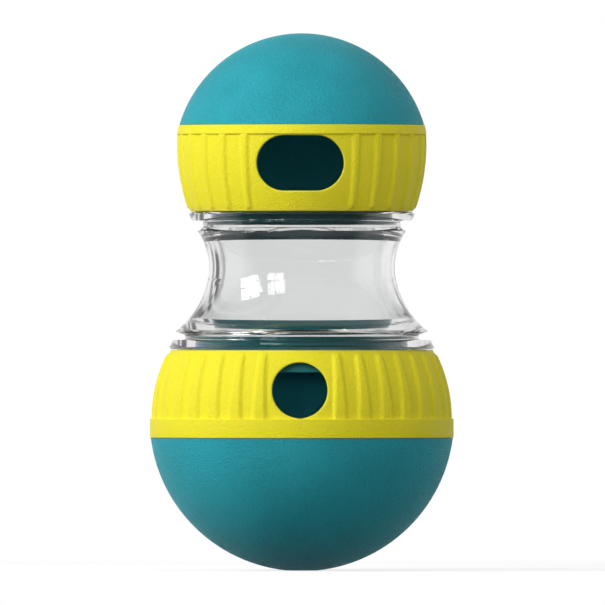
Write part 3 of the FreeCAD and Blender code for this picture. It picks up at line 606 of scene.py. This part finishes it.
def round_corner(points, radius):
    """A line of points with each inner corner rounded."""
    steps = 4
    largest_share = 0.45
    line = [Vector(point) for point in points]
    rounded = [line[0]]
    for before, corner, after in zip(line, line[1:], line[2:]):
        back = before - corner
        ahead = after - corner
        cut = min(radius, back.length * largest_share, ahead.length * largest_share)
        start = corner + back.normalized() * cut
        end = corner + ahead.normalized() * cut
        for step in range(steps + 1):
            share = step / steps
            first = start.lerp(corner, share)
            second = corner.lerp(end, share)
            rounded.append(first.lerp(second, share))
    rounded.append(line[-1])
    return rounded


def rows_between(low, high, across):
    """Points up the side between two heights, without the ends."""
    count = max(int(round((high - low) / ROW_SPACING)), 2)
    heights = [low + (high - low) * row / count for row in range(1, count)]
    return [Vector((across(height), height)) for height in heights]


def lower_outline():
    """The lower collar's side from its seam, round the plain band and up to the rim."""
    inside = LOWER_BAND - 0.75
    behind_seam = 0.05
    corner = 0.22
    below_rim = LOWER_RIM - RIM_WIDTH
    band = [
        (inside, LOWER_SEAM + behind_seam),
        (inside, LOWER_SEAM - LIP),
        (LOWER_BAND, LOWER_SEAM - LIP),
        (LOWER_BAND, LOWER_BAND_EDGE),
        (lower_across(LOWER_BAND_EDGE), LOWER_BAND_EDGE),
    ]
    rim = [
        (lower_across(below_rim), below_rim),
        (lower_across(LOWER_RIM), LOWER_RIM),
        (lower_across(LOWER_RIM) - RIM_WIDTH, LOWER_RIM),
    ]
    side = rows_between(LOWER_BAND_EDGE, below_rim, lower_across)
    return round_corner(band, corner) + side + round_corner(rim, corner)


def upper_outline():
    """The upper collar's side from its rim up to the band under the dome."""
    inside = UPPER_BAND_TOP - 1.0
    behind_seam = 0.05
    rim_corner = 0.22
    band_corner = 0.2
    above_rim = UPPER_RIM + RIM_WIDTH
    rim = [
        (upper_across(UPPER_RIM) - RIM_WIDTH, UPPER_RIM),
        (upper_across(UPPER_RIM), UPPER_RIM),
        (upper_across(above_rim), above_rim),
    ]
    band = [
        (upper_across(UPPER_BAND_EDGE), UPPER_BAND_EDGE),
        (UPPER_BAND_FOOT, UPPER_BAND_EDGE),
        (UPPER_BAND_TOP, UPPER_SEAM + LIP),
        (inside, UPPER_SEAM + LIP),
        (inside, UPPER_SEAM - behind_seam),
    ]
    side = rows_between(above_rim, UPPER_BAND_EDGE, upper_across)
    return round_corner(rim, rim_corner) + side + round_corner(band, band_corner)


def angle_of(place):
    """Degrees round from the front, positive to the right."""
    return math.degrees(math.atan2(place.x, -place.y))


def raise_ribs(bm, collar):
    """Moves the skin out along each rib."""
    first, pitch, count = collar.ribs
    low, high = collar.ribbed
    for vert in bm.verts:
        height = vert.co.z / MM
        if not low < height < high:
            continue
        across = math.hypot(vert.co.x, vert.co.y)
        if across / MM > collar.across(height) + EDGE_SLACK:
            continue
        turn = angle_of(vert.co) % 360.0
        index = kept_between(round((turn - first) / pitch), 0, count - 1)
        offset = math.radians(turn - first - index * pitch) * across / MM
        lift = collar.rib(offset, height) * MM
        vert.co.x *= (across + lift) / across
        vert.co.y *= (across + lift) / across


def spun_skin(bm, outline):
    """The outline spun once round, closed on itself."""
    verts = [bm.verts.new((0.0, -point.x * MM, point.y * MM)) for point in outline]
    edges = [bm.edges.new(pair) for pair in zip(verts, verts[1:])]
    bmesh.ops.spin(
        bm,
        geom=verts + edges,
        cent=(0.0, 0.0, 0.0),
        axis=(0.0, 0.0, 1.0),
        dvec=(0.0, 0.0, 0.0),
        angle=math.radians(360.0),
        steps=TURN_STEPS,
        use_merge=True,
    )
    bmesh.ops.remove_doubles(bm, verts=bm.verts, dist=SAME_PLACE)


def on_outlet(place, outlet, margin):
    """The nearest point of an outlet's outline, a margin outside it, for a point near it."""
    centre, half_width, half_height = outlet
    run = half_width - half_height
    held = kept_between(place.x, -run, run)
    away = Vector((place.x - held, place.y - centre))
    reach = half_height + margin
    return Vector((held, centre)) + away.normalized() * reach


def set_on_side(vert, flat, depth, across):
    """Puts a vertex at a place seen from the front, on the collar's side or a depth behind it."""
    side = across(flat.y)
    vert.co = Vector((flat.x, -math.sqrt(side * side - flat.x * flat.x) + depth, flat.y)) * MM


def cut_window(bm, window):
    """Takes the faces in the window out of the skin and gives the edges round it."""
    turn, low, high = window
    slack = 0.5
    doomed = []
    for face in bm.faces:
        middle = face.calc_center_median()
        if abs(angle_of(middle)) < turn and low < middle.z / MM < high:
            doomed.append(face)
    bmesh.ops.delete(bm, geom=doomed, context="FACES")

    def beside_window(vert):
        return low - slack < vert.co.z / MM < high + slack and abs(angle_of(vert.co)) < turn + slack

    return [edge for edge in bm.edges if edge.is_boundary and all(map(beside_window, edge.verts))]


def next_row(bm, edges):
    """Extrudes a ring of edges and gives the new edges and vertices, still in the old place."""
    made = bmesh.ops.extrude_edge_only(bm, edges=edges)["geom"]
    new_edges = [item for item in made if isinstance(item, bmesh.types.BMEdge)]
    new_verts = [item for item in made if isinstance(item, bmesh.types.BMVert)]
    return new_edges, new_verts


def open_outlet(bm, collar):
    """Cuts a window in the skin and draws its edge in to the outlet's outline, with a rounded rim."""
    rows = 7
    rows_inside = 0.03
    rim_inside = 0.05
    low, high = collar.window[1:]
    edges = cut_window(bm, collar.window)
    for left in range(rows, 0, -1):
        edges, verts = next_row(bm, edges)
        for vert in verts:
            flat = Vector((vert.co.x, vert.co.z)) / MM
            flat = flat.lerp(on_outlet(flat, collar.outlet, OUTLET_EDGE), 1.0 / left)
            flat.y = kept_between(flat.y, low + rows_inside, high - rows_inside)
            set_on_side(vert, flat, 0.0, collar.across)
    for margin, depth in OUTLET_RIM:
        edges, verts = next_row(bm, edges)
        for vert in verts:
            flat = on_outlet(Vector((vert.co.x, vert.co.z)) / MM, collar.outlet, margin)
            flat.y = kept_between(flat.y, low + rim_inside, high - rim_inside)
            set_on_side(vert, flat, depth, collar.across)


def face_outwards(bm):
    """Turns the skin's faces so that they look away from the axis."""
    sample = max(bm.faces, key=lambda face: face.calc_area())
    bmesh.ops.recalc_face_normals(bm, faces=bm.faces)
    middle = sample.calc_center_median()
    if sample.normal.x * middle.x + sample.normal.y * middle.y < 0.0:
        bmesh.ops.reverse_faces(bm, faces=bm.faces)


def lower_side(middle):
    """Whether a face of the solid lower collar is on its ribbed side or its band."""
    out = math.hypot(middle.x, middle.y)
    shell = math.hypot(out, middle.z - LOWER_CENTRE)
    past_valley = 0.9
    at_ribs = LOWER_SOLID_EDGE - EDGE_SLACK < middle.z < LOWER_RIM - EDGE_SLACK
    at_band = LOWER_SEAM + EDGE_SLACK < middle.z < LOWER_SOLID_EDGE + EDGE_SLACK
    return (at_ribs and shell > LOWER_VALLEY - SIDE_SLACK) or (at_band and out > LOWER_VALLEY + past_valley)


def upper_side(middle):
    """Whether a face of the solid upper collar is on its ribbed side or its band."""
    out = math.hypot(middle.x, middle.y)
    shell = math.hypot(out - UPPER_SIDE_CENTRE, middle.z - UPPER_GIRTH)
    short_of_band = 0.3
    at_ribs = UPPER_RIM + EDGE_SLACK < middle.z < UPPER_BAND_EDGE + EDGE_SLACK
    at_band = UPPER_BAND_EDGE - EDGE_SLACK < middle.z < UPPER_SEAM - EDGE_SLACK
    return (at_ribs and shell > UPPER_SIDE - SIDE_SLACK) or (at_band and out > UPPER_BAND_TOP - short_of_band)


def sink_outlet(vert, collar):
    """Moves the outer edge of the solid outlet's wall a little deeper, behind the skin's rim."""
    around = 0.1
    deeper = 0.7
    centre, half_width, half_height = collar.outlet
    low, high = collar.ribbed
    height = vert.co.z / MM
    if vert.co.y > 0.0 or abs(vert.co.x) > (half_width + around) * MM:
        return
    if abs(height - centre) > half_height + around:
        return
    side = collar.across(kept_between(height, low, high))
    if math.hypot(vert.co.x, vert.co.y) / MM > side - around:
        vert.co.y += deeper * MM


def keep_inside(bm, node, collar):
    """Adds the solid collar without its outer side. Its outlet's wall starts a little deeper."""
    held = bmesh.new()
    held.from_mesh(node.data)
    bmesh.ops.remove_doubles(held, verts=held.verts, dist=SAME_PLACE)
    gone = [face for face in held.faces if collar.is_side(face.calc_center_median() / MM)]
    bmesh.ops.delete(held, geom=gone, context="FACES")
    for vert in held.verts:
        sink_outlet(vert, collar)
    scrap = bpy.data.meshes.new("scrap")
    held.to_mesh(scrap)
    held.free()
    bm.from_mesh(scrap)
    bpy.data.meshes.remove(scrap)


def make_collar(collar, material, body, node):
    """One collar: ribbed skin with its outlet, on the inside of the solid one."""
    sharp = math.radians(35.0)
    bm = bmesh.new()
    spun_skin(bm, collar.outline)
    raise_ribs(bm, collar)
    open_outlet(bm, collar)
    face_outwards(bm)
    keep_inside(bm, nodes[node], collar)
    mesh = bpy.data.meshes.new(collar.name)
    bm.to_mesh(mesh)
    bm.free()
    for face in mesh.polygons:
        face.use_smooth = True
    mesh.set_sharp_from_angle(angle=sharp)
    mesh.materials.append(material)
    piece = bpy.data.objects.new(collar.name, mesh)
    bpy.context.scene.collection.objects.link(piece)
    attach(piece, body)
    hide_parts(node)


def paint_solids():
    """Gives every solid its finish, and gives back the yellow, which the new collars share."""
    teal = moulded_plastic(
        "teal_shell",
        TEAL_LIGHT,
        TEAL_DARK,
        roughness=0.56,
        specular=0.14,
        grain=1.4,
        sheen=0.3,
        sheen_tint=(0.3, 0.92, 1.0),
    )
    # Both adapters are the shell's teal plastic with painted shade. The lower one is painted lighter than the
    # upper, as painted light from above through the clear waist.
    shaded = {"roughness": 0.6, "specular": 0.1, "grain": 0.2, "sheen": 0.0}
    upper_teal_painted_shade = moulded_plastic("upper_adapter_painted_shade", (0.012, 0.13, 0.145), (0.010, 0.11, 0.12), **shaded)
    lower_teal_painted_shade = moulded_plastic("lower_adapter_painted_shade", (0.014, 0.22, 0.25), (0.011, 0.19, 0.215), **shaded)
    yellow = moulded_plastic(
        "yellow_shell",
        (0.99, 0.89, 0.026),
        (0.95, 0.85, 0.023),
        roughness=0.56,
        specular=0.2,
        grain=1.1,
        sheen=0.15,
    )
    give(teal, "lower_dome", "upper_dome", "ballast_cover")
    give(shutter_plastic("lower_shutter_shell", 0.0, LOWER_CENTRE, outer=43.9), "lower_shutter")
    give(shutter_plastic("upper_shutter_shell", UPPER_SIDE_CENTRE, UPPER_GIRTH, outer=58.9), "upper_shutter")
    give(upper_teal_painted_shade, "upper_adapter")
    give(lower_teal_painted_shade, "lower_adapter")
    give(yellow, "lower_collar", "upper_collar")
    give(finish_of("clear_plastic", clear_plastic), "waist")
    rubber = finish_of("silicone", silicone_rubber)
    give(rubber, "lower_seal", "upper_seal", "lower_friction_ring", "upper_friction_ring", "ballast_gasket")
    steel = finish_of("turned_steel", turned_steel)
    give(steel, "lower_dome_screws", "upper_dome_screws", "ballast_screws", "ballast_weight")
    return yellow


def draw_collars(yellow):
    """Draws both collars again, in place of the solid ones."""
    free_of_rim = 0.3
    lower = Collar(
        "lower_ribbed_collar",
        lower_outline(),
        lower_across,
        lower_side,
        ribs=(15.8, 9.95, 34),
        rib=lower_rib,
        ribbed=(LOWER_BAND_EDGE - EDGE_SLACK, LOWER_RIM - free_of_rim),
        window=(13.0, LOWER_BAND_EDGE + 0.02, 66.9),
        outlet=(LOWER_OUTLET, 8.75, 8.75),
    )
    make_collar(lower, yellow, "lower_collar", "lower_collar")
    upper = Collar(
        "upper_ribbed_collar",
        upper_outline(),
        upper_across,
        upper_side,
        ribs=(27.0, 12.24, 26),
        rib=upper_rib,
        ribbed=(UPPER_RIM + free_of_rim, UPPER_BAND_EDGE + EDGE_SLACK),
        window=(23.5, 118.5, UPPER_BAND_EDGE - 0.05),
        outlet=(UPPER_OUTLET, 13.75, 8.75),
    )
    make_collar(upper, yellow, "upper_collar", "upper_collar")


place_camera()
light_studio()
lay_floor()
draw_collars(paint_solids())
bpy.context.scene.view_settings.view_transform = "Standard"
